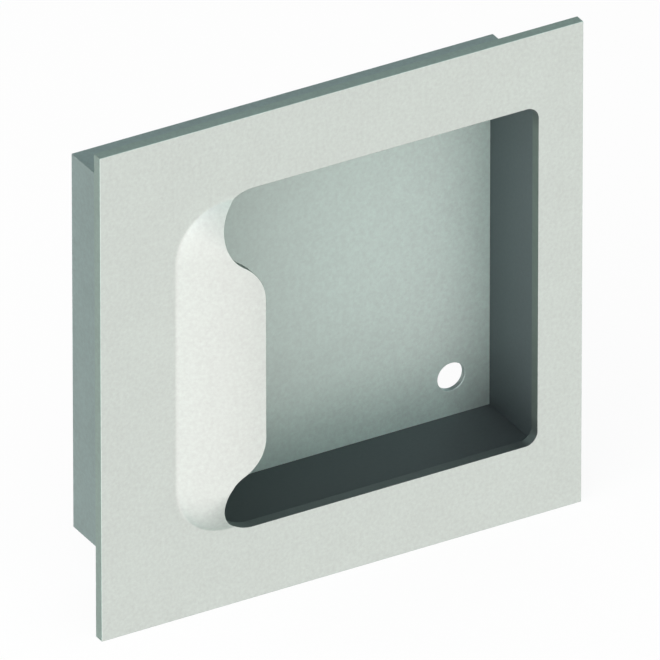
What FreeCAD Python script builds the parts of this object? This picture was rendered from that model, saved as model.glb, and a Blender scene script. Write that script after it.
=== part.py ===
"""Recessed pull for a sliding pocket door.

A square steel face plate has a finger lip pressed out of it beside a large
opening. A shallow open-fronted box is welded behind the plate, and makes room
for the fingers behind the lip. The back of the box has two fixing holes that a
screwdriver reaches through the opening.

All sizes are in millimetres. The origin is the centre of the plate on its back
face, which is the plane of the door's face once the pull is fitted. X runs to
the right across the plate, Y runs into the door and Z runs up.
"""
import FreeCAD
import Part

import math
import os

# Face plate, one square sheet.
PLATE_SIDE = 127.0
PLATE_SHEET = 2.8

# Box behind the plate. A flange is what the plate shows past the box.
SIDE_FLANGE = 8.0
END_FLANGE = 14.3
BOX_DEPTH = 24.5
BOX_SHEET = 1.5

# Opening. A ledge is what the plate covers of the inside of the box.
SIDE_LEDGE = 2.3
END_LEDGE = 3.2
OPENING_CORNER_RADIUS = 3.2

# Lip, pressed outwards. It is set back from the inside of the box's left wall,
# and its reach runs from the line where the plate starts to rise to its tip.
LIP_SET_BACK = 9.8
LIP_REACH = 20.7
LIP_CORNER_RADIUS = 13.9
LIP_ROOT_RADIUS = 2.2
LIP_ROOT_SLOPE = 25.4
LIP_CROWN_RADIUS = 66.2

# Tongue in the middle of the lip, between two round finger notches.
NOTCH_RADIUS = 9.3
TONGUE_CORNER_RADIUS = 11.1

# Fixing holes in the back of the box, one above the other at the right.
FIXING_HOLE_DIAMETER = 7.2
FIXING_HOLE_INSET = 11.7

# Places that follow from the sizes.
box_half_width = PLATE_SIDE / 2 - SIDE_FLANGE
box_half_height = PLATE_SIDE / 2 - END_FLANGE
opening_right = box_half_width - BOX_SHEET - SIDE_LEDGE
opening_top = box_half_height - BOX_SHEET - END_LEDGE
lip_left = LIP_SET_BACK + BOX_SHEET - box_half_width
tongue_tip = lip_left + LIP_REACH

ORIGIN = FreeCAD.Vector(0, 0, 0)
INTO_DOOR = FreeCAD.Vector(0, 1, 0)
UP = FreeCAD.Vector(0, 0, 1)


def plan_point(x, z):
    """A point of a plan outline, which is drawn on the plane of the door's face."""
    return FreeCAD.Vector(x, 0, z)


def line(start, end):
    return Part.makeLine(plan_point(*start), plan_point(*end))


def arc(centre, radius, start_angle, end_angle):
    """An arc between two angles in degrees, from +X towards +Z."""
    points = []
    for degrees in (start_angle, (start_angle + end_angle) / 2, end_angle):
        angle = math.radians(degrees)
        x = centre[0] + radius * math.cos(angle)
        z = centre[1] + radius * math.sin(angle)
        points.append(plan_point(x, z))
    return Part.Arc(*points).toShape()


def mirrored(shapes):
    """The shapes of the upper half, with their mirror images below Z = 0."""
    return shapes + [shape.mirror(ORIGIN, UP) for shape in shapes]


def closed_face(edges):
    return Part.Face(Part.Wire(Part.__sortEdges__(edges)))


def prism(upper_edges, y_low, y_high):
    """A plan outline, given as its upper half, cut square between two depths."""
    face = closed_face(mirrored(upper_edges))
    face.translate(INTO_DOOR * y_low)
    return face.extrude(INTO_DOOR * (y_high - y_low))


def block(half_width, half_height, y_low, y_high):
    """A rectangular block centred on the Y axis."""
    corner = FreeCAD.Vector(-half_width, y_low, -half_height)
    return Part.makeBox(2 * half_width, y_high - y_low, 2 * half_height, corner)


def right_side_outline():
    """The upper right of the opening, from its top edge to Z = 0."""
    centre = (opening_right - OPENING_CORNER_RADIUS, opening_top - OPENING_CORNER_RADIUS)
    return [
        line((tongue_tip, opening_top), (centre[0], opening_top)),
        arc(centre, OPENING_CORNER_RADIUS, 90, 0),
        line((opening_right, centre[1]), (opening_right, 0)),
    ]


def tongue_outline():
    """The upper left of the opening, from Z = 0 to its top edge.

    The tongue's straight tip ends in a round corner, which turns smoothly into
    the notch, and the notch runs smoothly into the opening's top edge.
    """
    notch_centre = (tongue_tip, opening_top - NOTCH_RADIUS)
    centres_apart = NOTCH_RADIUS + TONGUE_CORNER_RADIUS
    turn = math.degrees(math.acos(TONGUE_CORNER_RADIUS / centres_apart))
    corner_z = notch_centre[1] - centres_apart * math.sin(math.radians(turn))
    corner_centre = (tongue_tip - TONGUE_CORNER_RADIUS, corner_z)
    return [
        line((tongue_tip, 0), (tongue_tip, corner_z)),
        arc(corner_centre, TONGUE_CORNER_RADIUS, 0, turn),
        arc(notch_centre, NOTCH_RADIUS, 180 + turn, 90),
    ]


def pressed_outline():
    """The upper left of the lip's footprint, from Z = 0 to the opening's top edge."""
    centre = (lip_left + LIP_CORNER_RADIUS, opening_top - LIP_CORNER_RADIUS)
    return [
        line((lip_left, 0), (lip_left, centre[1])),
        arc(centre, LIP_CORNER_RADIUS, 180, 90),
        line((centre[0], opening_top), (tongue_tip, opening_top)),
    ]


def lip_section(reach):
    """The lip cut across at Z = 0, out to a square-cut end at the given reach.

    Its front turns up on the root radius and rolls over on the crown radius,
    and its back follows it one sheet further in.
    """
    slope = math.radians(LIP_ROOT_SLOPE)
    centres_apart = LIP_ROOT_RADIUS + LIP_CROWN_RADIUS
    crown_reach = centres_apart * math.sin(slope)
    crown_rise = LIP_ROOT_RADIUS - centres_apart * math.cos(slope)

    def section_point(along, rise):
        return FreeCAD.Vector(lip_left + along, -PLATE_SHEET - rise, 0)

    def root_arc(radius):
        angles = (0, slope / 2, slope)
        return [
            section_point(radius * math.sin(a), LIP_ROOT_RADIUS - radius * math.cos(a))
            for a in angles
        ]

    def crown_arc(radius):
        end = math.asin((crown_reach - reach) / radius)
        angles = (slope, (slope + end) / 2, end)
        return [
            section_point(crown_reach - radius * math.sin(a), crown_rise + radius * math.cos(a))
            for a in angles
        ]

    front_root = root_arc(LIP_ROOT_RADIUS)
    back_root = root_arc(LIP_ROOT_RADIUS + PLATE_SHEET)
    front_crown = crown_arc(LIP_CROWN_RADIUS)
    back_crown = crown_arc(LIP_CROWN_RADIUS - PLATE_SHEET)
    return closed_face([
        Part.Arc(*front_root).toShape(),
        Part.Arc(*front_crown).toShape(),
        Part.makeLine(front_crown[-1], back_crown[-1]),
        Part.Arc(*back_crown).toShape(),
        Part.Arc(*back_root).toShape(),
        Part.makeLine(back_root[0], front_root[0]),
    ])


def raised_lip():
    """The pressed lip, as an unpierced rim that is cut back to the tongue and notches."""
    corner_centre = plan_point(lip_left + LIP_CORNER_RADIUS, opening_top - LIP_CORNER_RADIUS)
    straight = lip_section(LIP_REACH).extrude(UP * corner_centre.z)
    section = lip_section(LIP_CORNER_RADIUS)
    section.translate(UP * corner_centre.z)
    corner = section.revolve(corner_centre, INTO_DOOR, 90)
    section.rotate(corner_centre, INTO_DOOR, 90)
    end = section.extrude(FreeCAD.Vector(tongue_tip - corner_centre.x, 0, 0))

    pieces = mirrored([straight, corner, end])
    rim = pieces[0].multiFuse(pieces[1:])
    lip_height = LIP_REACH * math.sin(math.radians(LIP_ROOT_SLOPE))
    opening = prism(
        tongue_outline() + right_side_outline(), -PLATE_SHEET - lip_height, PLATE_SHEET
    )
    return rim.cut(opening)


def face_plate():
    """One square sheet with the opening cut out and the lip pressed out of it."""
    sheet = block(PLATE_SIDE / 2, PLATE_SIDE / 2, -PLATE_SHEET, 0)
    pressed_area = prism(pressed_outline() + right_side_outline(), -PLATE_SHEET, 0)
    return sheet.cut(pressed_area).fuse(raised_lip()).removeSplitter()


def fixing_hole(z):
    """A cutter for one hole through the back of the box."""
    centre = FreeCAD.Vector(box_half_width - FIXING_HOLE_INSET, BOX_DEPTH - 2 * BOX_SHEET, z)
    return Part.makeCylinder(FIXING_HOLE_DIAMETER / 2, 3 * BOX_SHEET, centre, INTO_DOOR)


def back_box():
    """The open-fronted box, whose rim butts against the back of the plate."""
    outside = block(box_half_width, box_half_height, 0, BOX_DEPTH)
    inside = block(
        box_half_width - BOX_SHEET, box_half_height - BOX_SHEET, -BOX_SHEET, BOX_DEPTH - BOX_SHEET
    )
    hole_height = box_half_height - FIXING_HOLE_INSET
    return outside.cut([inside, fixing_hole(hole_height), fixing_hole(-hole_height)])


def main():
    os.makedirs("parts", exist_ok=True)
    for name, shape in {"face_plate": face_plate(), "back_box": back_box()}.items():
        shape.exportStep(f"parts/{name}.step")


main()
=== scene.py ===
"""Looks of a recessed pull for a sliding pocket door.

Two pieces of satin steel stand for the two solids of the fixed frame: the face
plate with the finger lip pressed out of it, and the open box welded behind it.
A pale studio with soft light from the front goes round them. Shade is painted
into the colour of the box's inside and of the opening's cut edges, and light is
painted onto the box's back away from the lip.

Lengths are in metres. The plate's back lies on the plane Y = 0, its front faces
-Y, X runs across the plate from the lip to the fixing holes, and Z runs up.
"""

import math

import bmesh
import bpy
from mathutils import Matrix, Vector


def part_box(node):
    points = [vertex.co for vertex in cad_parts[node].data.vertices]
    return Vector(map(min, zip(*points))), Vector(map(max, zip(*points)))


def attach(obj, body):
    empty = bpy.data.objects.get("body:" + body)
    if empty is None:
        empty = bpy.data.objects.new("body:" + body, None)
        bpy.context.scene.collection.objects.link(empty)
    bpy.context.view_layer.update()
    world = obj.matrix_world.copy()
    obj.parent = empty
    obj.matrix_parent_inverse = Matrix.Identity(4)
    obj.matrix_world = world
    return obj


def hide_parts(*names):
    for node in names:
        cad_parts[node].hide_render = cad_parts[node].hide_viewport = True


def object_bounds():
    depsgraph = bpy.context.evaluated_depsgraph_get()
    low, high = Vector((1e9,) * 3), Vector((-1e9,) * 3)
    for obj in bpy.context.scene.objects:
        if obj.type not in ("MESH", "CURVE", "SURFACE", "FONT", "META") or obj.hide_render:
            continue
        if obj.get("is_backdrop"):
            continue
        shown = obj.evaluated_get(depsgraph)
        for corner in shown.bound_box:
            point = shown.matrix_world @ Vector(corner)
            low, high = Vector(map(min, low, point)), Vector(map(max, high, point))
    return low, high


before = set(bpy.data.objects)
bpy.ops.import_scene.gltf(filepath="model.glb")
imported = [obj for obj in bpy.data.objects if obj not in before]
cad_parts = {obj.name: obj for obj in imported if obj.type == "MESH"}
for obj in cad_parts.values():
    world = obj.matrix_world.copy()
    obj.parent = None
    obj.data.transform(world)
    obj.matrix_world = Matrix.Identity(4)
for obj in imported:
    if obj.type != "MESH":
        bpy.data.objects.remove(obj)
cad_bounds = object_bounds()
plate_low, plate_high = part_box("face_plate")
box_low, box_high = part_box("back_box")

bl_info = {
    "name": "Pocket door pull",
    "version": (1, 0, 0),
    "blender": (4, 5, 0),
    "location": "3D View > Sidebar > Door pull",
    "description": "Satin steel recessed pull for a sliding pocket door, in a pale studio",
    "category": "Object",
}

MILLIMETRE = 0.001
ROOT_BODY = "root"

# An edge that turns by more than this is a sharp one.
SHARP_ANGLE = math.radians(35)
BEVEL_SEGMENTS = 3
HOLE_SEGMENTS = 72

# Steps along half of the opening's outline: past the lip, along the top edge,
# round the corner, and down the right edge.
LIP_STEPS = 110
TOP_STEPS = 60
CORNER_STEPS = 14
SIDE_STEPS = 30

# Rows of faces from the opening's edge outwards. The gaps between the rows
# shrink towards the lip's root, as strongly as the crowding says.
ROWS = 40
ROW_CROWDING = 1.6
FIRST_GAP = 0.4 * MILLIMETRE
LEAST_GAP = 0.12 * MILLIMETRE

# How far apart two points may be and still count as one, in metres, and how
# far past the lip's tip its own edge is looked for.
MERGE_DISTANCE = 1e-7
TIP_MARGIN = 1e-6
# Keeps a division of two areas from being 0 / 0 on the flat plate.
LEAST_AREA = 1e-12
# How far past the opening its cut edges are looked for.
OPENING_MARGIN = 1.0 * MILLIMETRE

# The materials of the back box, by their place on the piece. The inner ones carry
# painted shade, and the back one painted light as well.
INNER_BACK = 1
INNER_SIDE = 2
INNER_LEVEL = 3
HOLE_RIM = 4

# Sockets of the Mix node where it mixes colours.
MIX_FACTOR = 0
MIX_FIRST = 6
MIX_SECOND = 7
MIX_COLOUR = 2

# How strongly the grain and the clouds change the steel's colour and gloss.
GRAIN_TONE = 0.26
CLOUD_TONE = 0.05
GRAIN_GLOSS = 0.08
CLOUD_GLOSS = 0.04
# The noise's middle value, how much of it is in its finer octaves, and how
# large the relief's grain is beside the colour's.
NOISE_MIDDLE = 0.5
NOISE_ROUGHNESS = 0.6
FINE_GRAIN_SHARE = 0.4

# Where the fades of the painted shade and painted light on the inner walls and the
# opening's edges run, in metres from the plate's middle: a start, and how much
# further on the fade is complete.
ACROSS_BACK = (-0.010, 0.080)
DOWN_BACK = (0.022, 0.022)
RIGHT_END = (0.040, 0.014)
LIGHT_PATCH = (-0.029, 0.009)
ALONG_LEVEL = (-0.010, 0.060)
OPENING_ENDS = (0.038, 0.005)
# How much the back's painted light gains low down and loses at its right end,
# and how dark the painted shade at the front of an upright wall is outside its
# painted light patch.
LOW_GAIN = 0.42
END_LOSS = 0.15
FRONT_SHARE = 0.25

# The camera's sensor, in millimetres.
SENSOR_WIDTH = 36.0

# The floor's half width, in metres.
FLOOR_HALF_WIDTH = 3.0
WHITE = (1.0, 1.0, 1.0, 1.0)


def length(name, description, millimetres):
    """A length that is given here in millimetres and kept in metres."""
    return bpy.props.FloatProperty(
        name=name, description=description, default=millimetres * MILLIMETRE, unit="LENGTH", precision=5
    )


def number(name, description, default):
    return bpy.props.FloatProperty(name=name, description=description, default=default, precision=4)


def share(name, description, default):
    return bpy.props.FloatProperty(
        name=name, description=description, default=default, min=0.0, max=1.0, subtype="FACTOR"
    )


def angle(name, description, degrees):
    return bpy.props.FloatProperty(
        name=name, description=description, default=math.radians(degrees), subtype="ANGLE"
    )


def colour(name, description, default):
    return bpy.props.FloatVectorProperty(
        name=name, description=description, default=default, size=3, subtype="COLOR", min=0.0, max=1.0
    )


def light(name, description, default):
    """The colour of a soft light, where 1 is white."""
    return bpy.props.FloatVectorProperty(
        name=name, description=description, default=default, size=3, subtype="COLOR", min=0.0, max=10.0
    )


class PullPlateSizes(bpy.types.PropertyGroup):
    """Sizes of the face plate and of the lip pressed out of it."""

    sheet: length("Plate sheet", "Thickness of the plate and of the lip", 2.8)
    opening_right: length("Opening right", "From the plate's middle to the opening's right edge", 51.7)
    opening_top: length("Opening top", "From the plate's middle to the opening's top edge", 44.5)
    opening_corner: length("Opening corners", "Radius of the opening's right corners", 3.2)
    lip_left: length(
        "Lip start", "From the plate's middle to the line where the lip starts to rise", -44.2
    )
    lip_reach: length("Lip reach", "From the line where the lip starts to rise to its tip", 20.7)
    lip_corner: length("Lip corners", "Radius of the corners of the lip's footprint", 13.9)
    root_radius: length("Root radius", "Hollow radius where the lip turns up from the plate", 2.2)
    root_slope: angle("Root slope", "Steepest slope of the lip, at the end of its root", 25.4)
    crown_radius: length("Crown radius", "Radius of the lip's rounded back", 66.2)
    notch_radius: length("Notch radius", "Radius of the finger notch at each end of the lip", 9.3)
    tongue_corner: length("Tongue corners", "Radius of the corners of the lip's tongue", 11.1)
    end_inset: length("End inset", "How far the lip's ends start inside the opening's height", 1.2)
    end_softness: length("End softness", "How fast the lip's steeper ends ease into its profile", 0.9)
    corner_softness: length(
        "Corner softness", "How fast the lip's corners grow fuller above the plate", 2.5
    )
    corner_fullness: share("Corner fullness", "How full the lip's corners grow", 0.45)
    edge_break: length("Edge break", "Width of the rounding on the plate's cut edges", 0.16)


class PullBoxSizes(bpy.types.PropertyGroup):
    """Sizes of the box behind the plate."""

    sheet: length("Box sheet", "Thickness of the box's walls", 1.5)
    hole_diameter: length("Fixing holes", "Diameter of the fixing holes", 7.2)
    hole_inset: length("Hole inset", "From a fixing hole's centre to the box's outside", 11.7)
    edge_break: length("Edge break", "Width of the rounding on the box's edges", 0.2)


class PullFinish(bpy.types.PropertyGroup):
    """Colours and grain of the steel, and the painted shade and painted light of the box's inside and the
    opening's edges.
    """

    plate_colour: colour("Plate steel", "Colour of the plate's satin faces", (0.652, 0.748, 0.692))
    edge_colour: colour("Plate rim", "Colour of the cut edges round the plate", (0.578, 0.742, 0.678))
    # The opening's cut edges are painted shade: dark on the upright edges, darker on the level ones.
    opening_painted_shade: colour(
        "Opening edges", "Colour of the opening's upright cut edges", (0.232, 0.285, 0.26)
    )
    level_opening_painted_shade: colour(
        "Level opening edges", "The same for its level cut edges", (0.143, 0.17, 0.168)
    )
    box_colour: colour("Box steel", "Colour of the box outside", (0.568, 0.722, 0.697))
    # The box's back inside is painted shade behind the lip and painted light away from it.
    back_painted_shade: colour(
        "Box back", "Colour of the box's back wall inside, behind the lip", (0.548, 0.676, 0.624)
    )
    back_painted_light: colour("Far back", "The same on the side away from the lip", (0.742, 0.935, 0.858))
    # The upright walls inside are painted shade, deepest at the back.
    side_painted_shade: colour(
        "Side walls", "Colour of the box's upright walls inside, at their lightest", (0.222, 0.262, 0.273)
    )
    deep_side_painted_shade: colour("Deep side walls", "The same at the back", (0.106, 0.131, 0.138))
    # The level walls inside are painted shade, deepest below the lip.
    level_painted_shade: colour(
        "Level walls", "Colour of the box's level walls inside, by the lip", (0.1, 0.116, 0.12)
    )
    far_level_painted_shade: colour("Far level walls", "The same at the right of the box", (0.142, 0.164, 0.17))
    hole_colour: colour("Hole rims", "Colour of the rims of the fixing holes", (0.57, 0.71, 0.68))
    roughness: share("Roughness", "How far the satin finish spreads reflections", 0.6)
    back_roughness: share("Back roughness", "The same for the box's back wall inside", 0.68)
    grain_size: length("Grain size", "Size of the marks of the blasted finish", 0.9)
    cloud_size: length("Cloud size", "Size of the soft clouds in the finish", 9.0)
    grain_depth: length("Grain depth", "Height of the finest grain", 0.01)


class PullStudio(bpy.types.PropertyGroup):
    """Camera, light and floor."""

    azimuth: angle("Azimuth", "How far the camera stands to the right of the plate's front", -30.0)
    elevation: angle("Elevation", "How far the camera looks down", 30.0)
    frame_width: length("Frame width", "Width of what the picture shows at the plate", 150.64)
    lens: number("Lens", "Focal length in millimetres, long because the view is nearly parallel", 1650.0)
    aim_x: length("Aim across", "Where the camera aims across the plate", -3.325)
    aim_z: length("Aim up", "Where the camera aims up the plate", 1.433)
    left_light: light("Left light", "Soft light from the left", (3.13, 2.9, 2.88))
    front_light: light("Front light", "Soft light from the front, low down", (1.80, 1.43, 1.50))
    right_light: light("Right light", "Soft light from the right", (1.6, 1.84, 1.74))
    upper_light: light("Upper light", "Soft light from above the front", (1.31, 1.2, 1.34))
    side_light: light("Side light", "Faint light from the rear right", (0.33, 0.38, 0.4))
    low_light: light("Low light", "Faint light from below the left", (0.34, 0.47, 0.48))
    rear_light: light("Rear light", "Soft light on the back of the box", (1.0, 1.05, 1.02))
    ambient: colour("Ambient", "Even light on the floor", (0.72, 0.72, 0.72))
    floor_colour: colour("Floor", "Colour of the floor", (0.93, 0.93, 0.93))
    floor_white: share("Floor white", "Share of the floor that the camera sees at plain white", 0.9)
    lamp_azimuth: angle("Lamp azimuth", "Where the floor's lamp stands, from the plate's front", -60.0)
    lamp_elevation: angle("Lamp elevation", "How high it stands", 40.0)
    lamp_distance: length("Lamp distance", "How far it stands from the plate", 1000.0)
    lamp_size: length("Lamp size", "Width and height of the lamp", 1000.0)
    lamp_power: number("Lamp power", "Power of the lamp, in watts", 6.0)


# Each soft light's property, with its azimuth from the plate's front and its
# elevation, in degrees.
SOFT_LIGHTS = (
    ("left_light", -75, 10),
    ("front_light", -5, -25),
    ("right_light", 70, 10),
    ("upper_light", -18, 43),
    ("side_light", 125, 10),
    ("low_light", -45, -60),
    ("rear_light", 140, -35),
)
# How closely each soft light keeps to its own direction.
LIGHT_FOCUS = 6.0


class Wire:
    """A node's output that takes part in Python arithmetic by adding Math nodes."""

    def __init__(self, builder, node, output):
        self.builder = builder
        self.node = node
        self.socket = node.outputs[output]

    def out(self, output):
        """Another output of the same node."""
        return Wire(self.builder, self.node, output)

    def math(self, operation, *values):
        return self.builder.add("ShaderNodeMath", {"operation": operation}, dict(enumerate(values)))

    def __add__(self, other):
        return self.math("ADD", self, other)

    def __radd__(self, other):
        return self.math("ADD", other, self)

    def __sub__(self, other):
        return self.math("SUBTRACT", self, other)

    def __rsub__(self, other):
        return self.math("SUBTRACT", other, self)

    def __mul__(self, other):
        return self.math("MULTIPLY", self, other)

    def __rmul__(self, other):
        return self.math("MULTIPLY", other, self)

    def __truediv__(self, other):
        return self.math("DIVIDE", self, other)

    def __rtruediv__(self, other):
        return self.math("DIVIDE", other, self)

    def __neg__(self):
        return 0.0 - self

    def __gt__(self, other):
        return self.math("GREATER_THAN", self, other)

    def __lt__(self, other):
        return self.math("LESS_THAN", self, other)

    def at_least(self, other):
        return self.math("MAXIMUM", self, other)

    def absolute(self):
        return self.math("ABSOLUTE", self)

    def root(self):
        return self.math("SQRT", self)

    def exponential(self):
        return self.math("EXPONENT", self)

    def sine(self):
        return self.math("SINE", self)

    def cosine(self):
        return self.math("COSINE", self)

    def either(self, when_zero, when_one):
        """One value or the other, as this mask is 0 or 1."""
        return when_zero + (when_one - when_zero) * self


class Builder:
    """Adds nodes to one tree."""

    def __init__(self, tree):
        self.tree = tree
        tree.nodes.clear()

    def add(self, kind, settings=None, sockets=None, output=0):
        """One node: its type, its settings, then the values or links of its sockets."""
        node = self.tree.nodes.new(kind)
        for name, value in (settings or {}).items():
            setattr(node, name, value)
        for name, value in (sockets or {}).items():
            if isinstance(value, Wire):
                self.tree.links.new(value.socket, node.inputs[name])
            else:
                node.inputs[name].default_value = value
        return Wire(self, node, output) if node.outputs else None


def colour_mix(builder, factor, first, second):
    """A blend of two colours."""
    return builder.add(
        "ShaderNodeMix", {"data_type": "RGBA"},
        {MIX_FACTOR: factor, MIX_FIRST: first, MIX_SECOND: second}, output=MIX_COLOUR,
    )


def opaque(rgb):
    return (*rgb, 1.0)


def straight(start, end):
    """A straight stretch of an outline: its length, and its point at a share of it."""
    first, last = Vector(start), Vector(end)
    return (last - first).length, lambda share_along: first.lerp(last, share_along)


def bend(centre, radius, start_degrees, end_degrees):
    """A round stretch of an outline, by angles from +X towards +Z."""
    turn = math.radians(end_degrees - start_degrees)

    def point(share_along):
        at = math.radians(start_degrees) + turn * share_along
        return Vector((centre[0] + radius * math.cos(at), centre[1] + radius * math.sin(at)))

    return abs(turn) * radius, point


def walk(stretches, steps):
    """Evenly spaced points along an outline, both ends included."""
    total = sum(stretch[0] for stretch in stretches)
    points = []
    for step in range(steps + 1):
        left = total * step / steps
        for size, point in stretches:
            if left <= size or point is stretches[-1][1]:
                points.append(point(min(left / size, 1.0)))
                break
            left -= size
    return points


def upper_stations(sizes):
    """Pairs of points round the opening's upper half, from the lip's tip to the right side.

    The first point of a pair is on the opening's edge. The second is where the
    plate starts to rise, which is the same point where there is no lip.
    """
    tip = sizes.lip_left + sizes.lip_reach
    notch = (tip, sizes.opening_top - sizes.notch_radius)
    apart = sizes.notch_radius + sizes.tongue_corner
    turn = math.degrees(math.acos(sizes.tongue_corner / apart))
    corner = (tip - sizes.tongue_corner, notch[1] - apart * math.sin(math.radians(turn)))
    footprint = (sizes.lip_left + sizes.lip_corner, sizes.opening_top - sizes.lip_corner)
    cut = walk(
        [
            straight((tip, 0.0), (tip, corner[1])),
            bend(corner, sizes.tongue_corner, 0, turn),
            bend(notch, sizes.notch_radius, 180 + turn, 90),
        ],
        LIP_STEPS,
    )
    rise = walk(
        [
            straight((sizes.lip_left, 0.0), (sizes.lip_left, footprint[1])),
            bend(footprint, sizes.lip_corner, 180, 90),
            straight((footprint[0], sizes.opening_top), (tip, sizes.opening_top)),
        ],
        LIP_STEPS,
    )
    right = (sizes.opening_right - sizes.opening_corner, sizes.opening_top - sizes.opening_corner)
    plain = (
        walk([straight((tip, sizes.opening_top), (right[0], sizes.opening_top))], TOP_STEPS)[1:]
        + walk([bend(right, sizes.opening_corner, 90, 0)], CORNER_STEPS)[1:]
        + walk([straight((sizes.opening_right, right[1]), (sizes.opening_right, 0.0))], SIDE_STEPS)[1:]
    )
    return list(zip(cut, rise)) + [(point, point) for point in plain]


def row_points(cut, rise, outer):
    """Points from the opening's edge out to the plate's edge, close together at the lip's root."""
    lip_width = (rise - cut).length
    rim_width = (outer - rise).length
    points = [cut]
    for row in range(1, ROWS + 1):
        crowded = lip_width * (1 - (1 - row / ROWS) ** ROW_CROWDING)
        reach = max(crowded, FIRST_GAP + LEAST_GAP * (row - 1))
        if reach <= lip_width:
            points.append(cut.lerp(rise, reach / lip_width))
        else:
            points.append(rise.lerp(outer, (reach - lip_width) / rim_width))
    points.append(points[-1].lerp(outer, 0.5))
    points.append(outer)
    return points


def edge_points(rises, half):
    """The plate's edge opposite each station, with the station nearest each corner put on it."""
    edge = [rise * (half / max(abs(rise.x), abs(rise.y))) for rise in rises]
    for side in (-1, 1):
        corner = Vector((side * half, half))
        nearest = min(range(len(edge)), key=lambda i: (edge[i] - corner).length)
        edge[nearest] = corner
    return edge


def flat_blank(sizes):
    """The plate's plan as one flat layer of faces that looks to the front."""
    stations = upper_stations(sizes)
    edge = edge_points([rise for _, rise in stations], plate_high.x)
    upper = [row_points(cut, rise, outer) for (cut, rise), outer in zip(stations, edge)]
    lower = [[Vector((p.x, -p.y)) for p in line] for line in upper[-2:0:-1]]
    lines = upper + lower
    mesh = bmesh.new()
    grid = [[mesh.verts.new((p.x, 0.0, p.y)) for p in line] for line in lines]
    for here, after in zip(grid, grid[1:] + grid[:1]):
        for row in range(len(here) - 1):
            mesh.faces.new((here[row], after[row], after[row + 1], here[row + 1]))
    return mesh


def new_piece(name, mesh, materials):
    """An object at the origin with a finished bmesh in it."""
    data = bpy.data.meshes.new(name)
    mesh.to_mesh(data)
    mesh.free()
    for material in materials:
        data.materials.append(material)
    piece = bpy.data.objects.new(name, data)
    bpy.context.scene.collection.objects.link(piece)
    return piece


def bake_modifiers(piece):
    """Turns what the modifiers make into the piece's own plain mesh."""
    evaluated = piece.evaluated_get(bpy.context.evaluated_depsgraph_get())
    finished = bpy.data.meshes.new_from_object(evaluated)
    piece.modifiers.clear()
    finished.name = piece.name
    piece.data = finished


def round_edges(piece, width):
    """Breaks the sharp outward edges by a hair, as deburring does."""
    mesh = bmesh.new()
    mesh.from_mesh(piece.data)
    weight = mesh.edges.layers.float.new("bevel_weight_edge")
    for edge in mesh.edges:
        if edge.is_manifold and edge.calc_face_angle_signed() > SHARP_ANGLE:
            edge[weight] = 1.0
        if edge.is_manifold and edge.calc_face_angle_signed() < -SHARP_ANGLE:
            edge.smooth = False
    for face in mesh.faces:
        face.smooth = True
    mesh.to_mesh(piece.data)
    mesh.free()
    bevel = piece.modifiers.new("edge_break", "BEVEL")
    bevel.width = width
    bevel.segments = BEVEL_SEGMENTS
    bevel.limit_method = "WEIGHT"
    bevel.use_clamp_overlap = False
    bevel.harden_normals = True
    bake_modifiers(piece)


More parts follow.
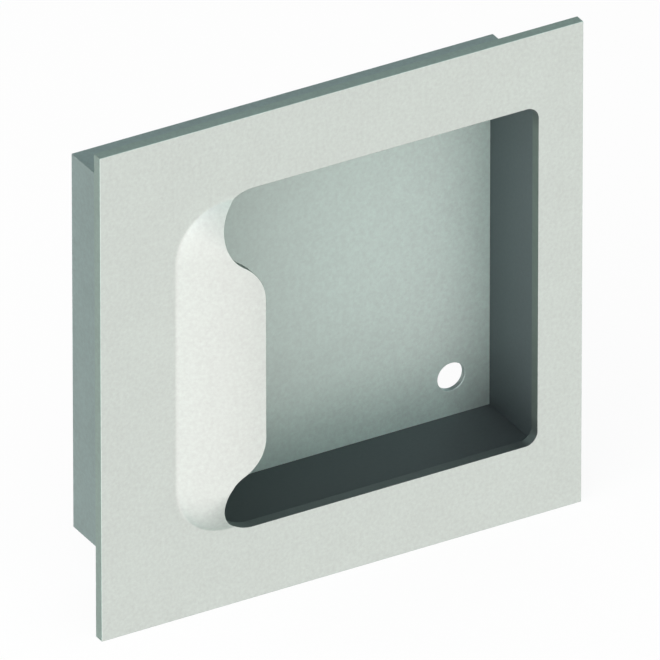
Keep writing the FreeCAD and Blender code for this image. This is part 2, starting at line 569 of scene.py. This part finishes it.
def pressing_nodes():
    """Nodes that give the flat blank its thickness and press the lip out of it.

    The rise depends only on how far a point lies inside the lip's footprint: a
    hollow root arc first, then the crown arc. The back of the sheet has the same
    arc centres, one sheet further in.
    """
    group = bpy.data.node_groups.new("press_the_lip", "GeometryNodeTree")
    sockets = group.interface
    sockets.new_socket("Blank", in_out="INPUT", socket_type="NodeSocketGeometry")
    for name in (
        "Sheet", "Lip left", "Lip reach", "Lip corner", "Opening top", "Opening right",
        "Root radius", "Root slope", "Crown radius", "End inset", "End softness",
        "Corner softness", "Corner fullness",
    ):
        sockets.new_socket(name, in_out="INPUT", socket_type="NodeSocketFloat")
    for name in ("Faces", "Rim", "Opening edges"):
        sockets.new_socket(name, in_out="INPUT", socket_type="NodeSocketMaterial")
    sockets.new_socket("Plate", in_out="OUTPUT", socket_type="NodeSocketGeometry")

    build = Builder(group)
    given = build.add("NodeGroupInput")
    sheet = given.out("Sheet")
    lip_left = given.out("Lip left")
    lip_corner = given.out("Lip corner")
    root_radius = given.out("Root radius")
    crown_radius = given.out("Crown radius")
    slope = given.out("Root slope")

    raised = build.add(
        "GeometryNodeExtrudeMesh", {"mode": "FACES"},
        {"Mesh": given.out("Blank"), "Offset Scale": sheet, "Individual": False},
    )
    back = build.add("GeometryNodeFlipFaces", None, {"Mesh": given.out("Blank")})
    joined = build.add("GeometryNodeJoinGeometry")
    for part in (back, raised):
        group.links.new(part.socket, joined.node.inputs[0])
    closed = build.add(
        "GeometryNodeMergeByDistance", None, {"Geometry": joined, "Distance": MERGE_DISTANCE}
    )

    # How far each point lies inside the lip's footprint. Its corners grow fuller
    # and its ends rise steeper than a plain offset of its outline would.
    place = build.add("ShaderNodeSeparateXYZ", None, {0: build.add("GeometryNodeInputPosition")})
    across, depth, up = place.out("X"), place.out("Y"), place.out("Z")
    height = up.absolute()
    corner_x = lip_left + lip_corner
    inset = given.out("End inset")
    corner_z = given.out("Opening top") - inset - lip_corner
    beside = (corner_x - across).at_least(0.0)
    above = (height - corner_z).at_least(0.0)
    from_left = across - lip_left
    beside_squared = beside * beside
    above_squared = above * above
    round_corner = lip_corner - (beside_squared + above_squared).root()
    full_corner = lip_corner - (
        beside_squared * beside_squared + above_squared * above_squared
    ).root().root()
    fuller = 1.0 - (-round_corner.at_least(0.0) / given.out("Corner softness")).exponential()
    from_corner = round_corner + (full_corner - round_corner) * fuller * given.out("Corner fullness")
    inward = (height > corner_z).either(from_left, from_corner).at_least(0.0)
    endwards = above_squared / (beside_squared + above_squared + LEAST_AREA)
    steeper = 1.0 - (-inward / given.out("End softness")).exponential()
    inward = inward + endwards * inset * steeper
    on_lip = across < lip_left + given.out("Lip reach") + TIP_MARGIN
    inward = inward * on_lip

    # How far the sheet rises there, on the arcs for its front or for its back.
    behind = depth + sheet
    root = root_radius + behind
    crown = crown_radius - behind
    centres = root_radius + crown_radius
    crown_reach = centres * slope.sine()
    crown_rise = root_radius - centres * slope.cosine()
    along_crown = crown_reach - inward
    root_rise = root_radius - (root * root - inward * inward).at_least(0.0).root()
    roll_rise = crown_rise + (crown * crown - along_crown * along_crown).at_least(0.0).root()
    rise = (inward > root * slope.sine()).either(root_rise, roll_rise)
    pressed = build.add("ShaderNodeCombineXYZ", None, {"X": across, "Y": -sheet - rise, "Z": up})
    shaped = build.add("GeometryNodeSetPosition", None, {"Geometry": closed, "Position": pressed})

    # The materials: first all faces, then the cut edges, then the opening's edges,
    # whose material is painted shade.
    real = build.add("GeometryNodeRealizeInstances", None, {"Geometry": shaped})
    faced = build.add("GeometryNodeSetMaterial", None, {"Geometry": real, "Material": given.out("Faces")})
    edged = build.add(
        "GeometryNodeSetMaterial", None,
        {"Geometry": faced, "Selection": raised.out("Side"), "Material": given.out("Rim")},
    )
    round_opening = across.absolute().at_least(height) < given.out("Opening right") + OPENING_MARGIN
    lined = build.add(
        "GeometryNodeSetMaterial", None,
        {
            "Geometry": edged,
            "Selection": raised.out("Side") * round_opening,
            "Material": given.out("Opening edges"),
        },
    )
    build.add("NodeGroupOutput", None, {"Plate": lined})
    return group


def press(piece, sizes, faces, rim, opening):
    """Runs the pressing nodes on a blank and keeps their result as its mesh."""
    group = pressing_nodes()
    values = {
        "Sheet": sizes.sheet,
        "Lip left": sizes.lip_left,
        "Lip reach": sizes.lip_reach,
        "Lip corner": sizes.lip_corner,
        "Opening top": sizes.opening_top,
        "Opening right": sizes.opening_right,
        "Root radius": sizes.root_radius,
        "Root slope": sizes.root_slope,
        "Crown radius": sizes.crown_radius,
        "End inset": sizes.end_inset,
        "End softness": sizes.end_softness,
        "Corner softness": sizes.corner_softness,
        "Corner fullness": sizes.corner_fullness,
        "Faces": faces,
        "Rim": rim,
        "Opening edges": opening,
    }
    modifier = piece.modifiers.new("press", "NODES")
    modifier.node_group = group
    for socket in group.interface.items_tree:
        if socket.in_out == "INPUT" and socket.name in values:
            modifier[socket.identifier] = values[socket.name]
    bake_modifiers(piece)


def hole_centres(sizes):
    """Across and up of the two fixing holes."""
    across = box_high.x - sizes.hole_inset
    up = box_high.z - sizes.hole_inset
    return [(across, up), (across, -up)]


def join_loops(mesh, first, second):
    """A band of faces between two loops of as many points."""
    count = len(first)
    for here in range(count):
        after = (here + 1) % count
        mesh.faces.new((first[here], first[after], second[after], second[here]))


def open_box(sizes):
    """The box without its holes: outside, front rim and inside as one closed skin.

    Inside, the back, the upright walls and the level walls each take a material
    of their own, whose colour is painted shade, with painted light on the back.
    of their own.
    """
    mesh = bmesh.new()
    inset = sizes.sheet

    def loop(margin, depth):
        across, up = box_high.x - margin, box_high.z - margin
        corners = [(-across, -up), (across, -up), (across, up), (-across, up)]
        return [mesh.verts.new((x, depth, z)) for x, z in corners]

    outer_back, outer_rim = loop(0, box_high.y), loop(0, box_low.y)
    inner_back, inner_rim = loop(inset, box_high.y - inset), loop(inset, box_low.y)
    mesh.faces.new(outer_back)
    join_loops(mesh, outer_back, outer_rim)
    join_loops(mesh, outer_rim, inner_rim)
    join_loops(mesh, inner_rim, inner_back)
    mesh.faces.ensure_lookup_table()
    for wall, material in zip(mesh.faces[-4:], (INNER_LEVEL, INNER_SIDE) * 2):
        wall.material_index = material
    mesh.faces.new(inner_back).material_index = INNER_BACK
    bmesh.ops.recalc_face_normals(mesh, faces=mesh.faces)
    return mesh


def bore_holes(piece, sizes):
    """Bores the fixing holes through the back of the box, with drills that reach well past it."""
    mesh = bmesh.new()
    for across, up in hole_centres(sizes):
        place = Matrix.Translation((across, box_high.y - sizes.sheet / 2, up))
        bmesh.ops.create_cone(
            mesh, cap_ends=True, segments=HOLE_SEGMENTS, radius1=sizes.hole_diameter / 2,
            radius2=sizes.hole_diameter / 2, depth=3 * sizes.sheet,
            matrix=place @ Matrix.Rotation(math.radians(90), 4, "X"),
        )
    for face in mesh.faces:
        face.material_index = HOLE_RIM
    drill = new_piece("drill", mesh, piece.data.materials)
    boolean = piece.modifiers.new("fixing_holes", "BOOLEAN")
    boolean.object = drill
    boolean.operation = "DIFFERENCE"
    boolean.solver = "EXACT"
    bake_modifiers(piece)
    bpy.data.objects.remove(drill)


def ramp(place, start, reach):
    """0 at the start and 1 a reach further on, and straight on past both."""
    return (place - start) / reach


def away_from_lip(across, depth, up):
    """Share of the back's painted light over its painted shade: 0 behind the lip, more
    to the right and low down, and less again at the right end.
    """
    low = ramp(-up, *DOWN_BACK).at_least(0.0)
    right_end = ramp(across, *RIGHT_END).at_least(0.0)
    return ramp(across, *ACROSS_BACK) + LOW_GAIN * low - (END_LOSS + low * low) * right_end


def towards_back(across, depth, up):
    """Share of the deepest painted shade on an upright wall: 1 at the back of the box,
    and 0 at its front in the patch low down that is painted lightest.
    """
    share_deep = depth / box_high.y
    from_patch = ramp(up, *LIGHT_PATCH)
    patch = (-from_patch * from_patch).exponential()
    return share_deep + (1.0 - share_deep) * (1.0 - patch) * FRONT_SHARE


def towards_right(across, depth, up):
    """Share of the lighter painted shade on a level wall: 0 below the lip and 1 at the
    right of the box, slowly at first.
    """
    share_across = ramp(across, *ALONG_LEVEL).at_least(0.0)
    return share_across * share_across


def towards_ends(across, depth, up):
    """Share of the darker painted shade on the opening's edges: 0 along its upright
    edges and 1 along the level ones.
    """
    return ramp(up.absolute(), *OPENING_ENDS)


def satin_steel(name, rgb, roughness, finish, far_rgb=None, far_share=None):
    """Blasted satin steel: fine grain and soft clouds in its colour, gloss and surface.

    The colour may fade to a second one by a share that depends on the place; the
    box's inside and the opening's edges use this fade for painted shade and painted
    light.
    """
    material = bpy.data.materials.new(name)
    material.use_nodes = True
    build = Builder(material.node_tree)
    place = build.add("ShaderNodeTexCoord", output="Object")

    def noise(size, detail):
        return build.add(
            "ShaderNodeTexNoise", {"noise_dimensions": "3D"},
            {"Vector": place, "Scale": 1.0 / size, "Detail": detail, "Roughness": NOISE_ROUGHNESS},
        )

    grain = noise(finish.grain_size, detail=3.0) - NOISE_MIDDLE
    cloud = noise(finish.cloud_size, detail=2.0) - NOISE_MIDDLE
    tone = 1.0 + GRAIN_TONE * grain + CLOUD_TONE * cloud
    plain = tuple(rgb)
    if far_share is not None:
        axes = build.add("ShaderNodeSeparateXYZ", None, {0: place})
        share_here = far_share(axes.out("X"), axes.out("Y"), axes.out("Z"))
        plain = colour_mix(build, share_here, opaque(rgb), opaque(far_rgb))
    shade = build.add("ShaderNodeVectorMath", {"operation": "SCALE"}, {0: plain, "Scale": tone})
    gloss = roughness + GRAIN_GLOSS * grain + CLOUD_GLOSS * cloud
    fine_grain = noise(finish.grain_size * FINE_GRAIN_SHARE, detail=2.0)
    bump = build.add(
        "ShaderNodeBump", None,
        {"Height": fine_grain, "Distance": finish.grain_depth, "Strength": 1.0},
    )
    steel = build.add(
        "ShaderNodeBsdfPrincipled", None,
        {"Base Color": shade, "Metallic": 1.0, "Roughness": gloss, "Normal": bump},
    )
    build.add("ShaderNodeOutputMaterial", None, {"Surface": steel})
    return material


def floor_paint(studio):
    """Pale matt floor, which the camera sees mostly at plain white."""
    material = bpy.data.materials.new("studio_floor")
    material.use_nodes = True
    build = Builder(material.node_tree)
    matt = build.add("ShaderNodeBsdfDiffuse", None, {"Color": opaque(studio.floor_colour)})
    white = build.add("ShaderNodeEmission", None, {"Color": WHITE, "Strength": 1.0})
    seen = build.add("ShaderNodeLightPath").out("Is Camera Ray") * studio.floor_white
    paint = build.add("ShaderNodeMixShader", None, {0: seen, 1: matt, 2: white})
    build.add("ShaderNodeOutputMaterial", None, {"Surface": paint})
    return material


def lay_floor(studio):
    """A level square under the pull, which the steel doesn't reflect."""
    half = FLOOR_HALF_WIDTH
    mesh = bmesh.new()
    corners = [(-half, -half), (half, -half), (half, half), (-half, half)]
    mesh.faces.new([mesh.verts.new((x, y, plate_low.z)) for x, y in corners])
    floor = new_piece("studio_floor", mesh, [floor_paint(studio)])
    floor.visible_glossy = False
    floor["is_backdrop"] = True


def from_front(azimuth, elevation):
    """The direction towards something seen from the plate's front."""
    level = math.cos(elevation)
    return Vector((math.sin(azimuth) * level, -math.cos(azimuth) * level, math.sin(elevation)))


def soft_lights(build, studio):
    """The sum of the soft lights that the steel reflects, each fading away from its own direction."""
    heading = build.add("ShaderNodeTexCoord", output="Generated")
    total = None
    for name, azimuth, elevation in SOFT_LIGHTS:
        towards = from_front(math.radians(azimuth), math.radians(elevation))
        facing = build.add(
            "ShaderNodeVectorMath", {"operation": "DOT_PRODUCT"}, {0: heading, 1: towards}, output="Value"
        )
        strength = ((facing - 1.0) * LIGHT_FOCUS).exponential()
        glow = build.add(
            "ShaderNodeVectorMath", {"operation": "SCALE"},
            {0: tuple(getattr(studio, name)), "Scale": strength},
        )
        total = glow if total is None else build.add("ShaderNodeVectorMath", None, {0: total, 1: glow})
    return total


def light_world(studio):
    """White to the camera, soft lights to the steel, and even light on the floor."""
    world = bpy.data.worlds.new("studio_light")
    world.use_nodes = True
    world.cycles.sampling_method = "NONE"
    build = Builder(world.node_tree)
    rays = build.add("ShaderNodeLightPath")
    even, soft = opaque(studio.ambient), soft_lights(build, studio)
    lit = colour_mix(build, rays.out("Is Glossy Ray"), even, soft)
    seen = colour_mix(build, rays.out("Is Camera Ray"), lit, WHITE)
    sky = build.add("ShaderNodeBackground", None, {"Color": seen, "Strength": 1.0})
    build.add("ShaderNodeOutputWorld", None, {"Surface": sky})
    bpy.context.scene.world = world


def hang_lamp(studio):
    """A soft lamp at the front left, which gives the pull its shadow on the floor."""
    data = bpy.data.lights.new("floor_lamp", "AREA")
    data.size = studio.lamp_size
    data.energy = studio.lamp_power
    lamp = bpy.data.objects.new("floor_lamp", data)
    heading = from_front(studio.lamp_azimuth, studio.lamp_elevation)
    lamp.location = heading * studio.lamp_distance
    lamp.rotation_euler = (-heading).to_track_quat("-Z", "Y").to_euler()
    lamp.visible_camera = False
    lamp.visible_glossy = False
    bpy.context.scene.collection.objects.link(lamp)


def set_camera(studio):
    """A long lens at the photograph's angle, aimed at a point on the plate's front."""
    data = bpy.data.cameras.new("camera")
    data.sensor_width = SENSOR_WIDTH
    data.lens = studio.lens
    camera = bpy.data.objects.new("camera", data)
    back = from_front(studio.azimuth, studio.elevation)
    front = -bpy.context.scene.pull_plate.sheet
    aim = Vector((studio.aim_x, front, studio.aim_z))
    camera.location = aim + back * (studio.frame_width * data.lens / data.sensor_width)
    camera.rotation_euler = (-back).to_track_quat("-Z", "Y").to_euler()
    bpy.context.scene.collection.objects.link(camera)
    bpy.context.scene.camera = camera


class PULL_OT_face_plate(bpy.types.Operator):
    """Press the face plate with its finger lip from a flat blank"""

    bl_idname = "pull.face_plate"
    bl_label = "Press face plate"

    def execute(self, context):
        sizes, finish = context.scene.pull_plate, context.scene.pull_finish
        faces = satin_steel("satin_plate_steel", finish.plate_colour, finish.roughness, finish)
        rim = satin_steel("cut_edge_steel", finish.edge_colour, finish.roughness, finish)
        # The opening's edges get painted shade, darker on the level edges.
        opening = satin_steel(
            "opening_edge_steel", finish.opening_painted_shade, finish.roughness, finish,
            finish.level_opening_painted_shade, towards_ends,
        )
        piece = new_piece("pressed_face_plate", flat_blank(sizes), [faces, rim, opening])
        press(piece, sizes, faces, rim, opening)
        round_edges(piece, sizes.edge_break)
        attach(piece, ROOT_BODY)
        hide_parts("face_plate")
        return {"FINISHED"}


class PULL_OT_back_box(bpy.types.Operator):
    """Make the open box behind the plate, with its fixing holes"""

    bl_idname = "pull.back_box"
    bl_label = "Make back box"

    def execute(self, context):
        sizes, finish = context.scene.pull_box, context.scene.pull_finish
        steel = satin_steel("satin_box_steel", finish.box_colour, finish.roughness, finish)
        # The back inside gets painted shade behind the lip and painted light away from it.
        back = satin_steel(
            "inner_back_steel", finish.back_painted_shade, finish.back_roughness, finish,
            finish.back_painted_light, away_from_lip,
        )
        # The upright walls inside get painted shade, deepening towards the back.
        sides = satin_steel(
            "inner_side_steel", finish.side_painted_shade, finish.roughness, finish,
            finish.deep_side_painted_shade, towards_back,
        )
        # The level walls inside get painted shade, a little lighter towards the right.
        levels = satin_steel(
            "inner_level_steel", finish.level_painted_shade, finish.roughness, finish,
            finish.far_level_painted_shade, towards_right,
        )
        rims = satin_steel("hole_rim_steel", finish.hole_colour, finish.roughness, finish)
        piece = new_piece("folded_back_box", open_box(sizes), [steel, back, sides, levels, rims])
        bore_holes(piece, sizes)
        round_edges(piece, sizes.edge_break)
        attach(piece, ROOT_BODY)
        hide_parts("back_box")
        return {"FINISHED"}


class PULL_OT_studio(bpy.types.Operator):
    """Lay the pale floor, set the soft light and place the camera"""

    bl_idname = "pull.studio"
    bl_label = "Set up studio"

    def execute(self, context):
        studio = context.scene.pull_studio
        context.scene.view_settings.view_transform = "Standard"
        set_camera(studio)
        lay_floor(studio)
        light_world(studio)
        hang_lamp(studio)
        return {"FINISHED"}


class PULL_PT_sidebar(bpy.types.Panel):
    """The pull's steps and sizes in the sidebar"""

    bl_idname = "PULL_PT_sidebar"
    bl_label = "Pocket door pull"
    bl_space_type = "VIEW_3D"
    bl_region_type = "UI"
    bl_category = "Door pull"

    def draw(self, context):
        for operator in OPERATORS:
            self.layout.operator(operator.bl_idname)
        for name in GROUPS:
            settings = getattr(context.scene, name)
            column = self.layout.column(align=True)
            for key in settings.__annotations__:
                column.prop(settings, key)


GROUPS = {
    "pull_plate": PullPlateSizes,
    "pull_box": PullBoxSizes,
    "pull_finish": PullFinish,
    "pull_studio": PullStudio,
}
OPERATORS = (PULL_OT_face_plate, PULL_OT_back_box, PULL_OT_studio)


def register():
    for kind in (*GROUPS.values(), *OPERATORS, PULL_PT_sidebar):
        bpy.utils.register_class(kind)
    for name, kind in GROUPS.items():
        setattr(bpy.types.Scene, name, bpy.props.PointerProperty(type=kind))


def unregister():
    for name in GROUPS:
        delattr(bpy.types.Scene, name)
    for kind in reversed((*GROUPS.values(), *OPERATORS, PULL_PT_sidebar)):
        bpy.utils.unregister_class(kind)


def write_sizes():
    """Gathers the solids' box and the finished pieces' box as plain lists."""
    sizes = {"cad": cad_bounds, "visual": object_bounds()}
    plain = {name: [list(corner) for corner in corners] for name, corners in sizes.items()}


def main():
    register()
    bpy.ops.pull.face_plate()
    bpy.ops.pull.back_box()
    bpy.ops.pull.studio()
    write_sizes()


if __name__ == "__main__":
    main()
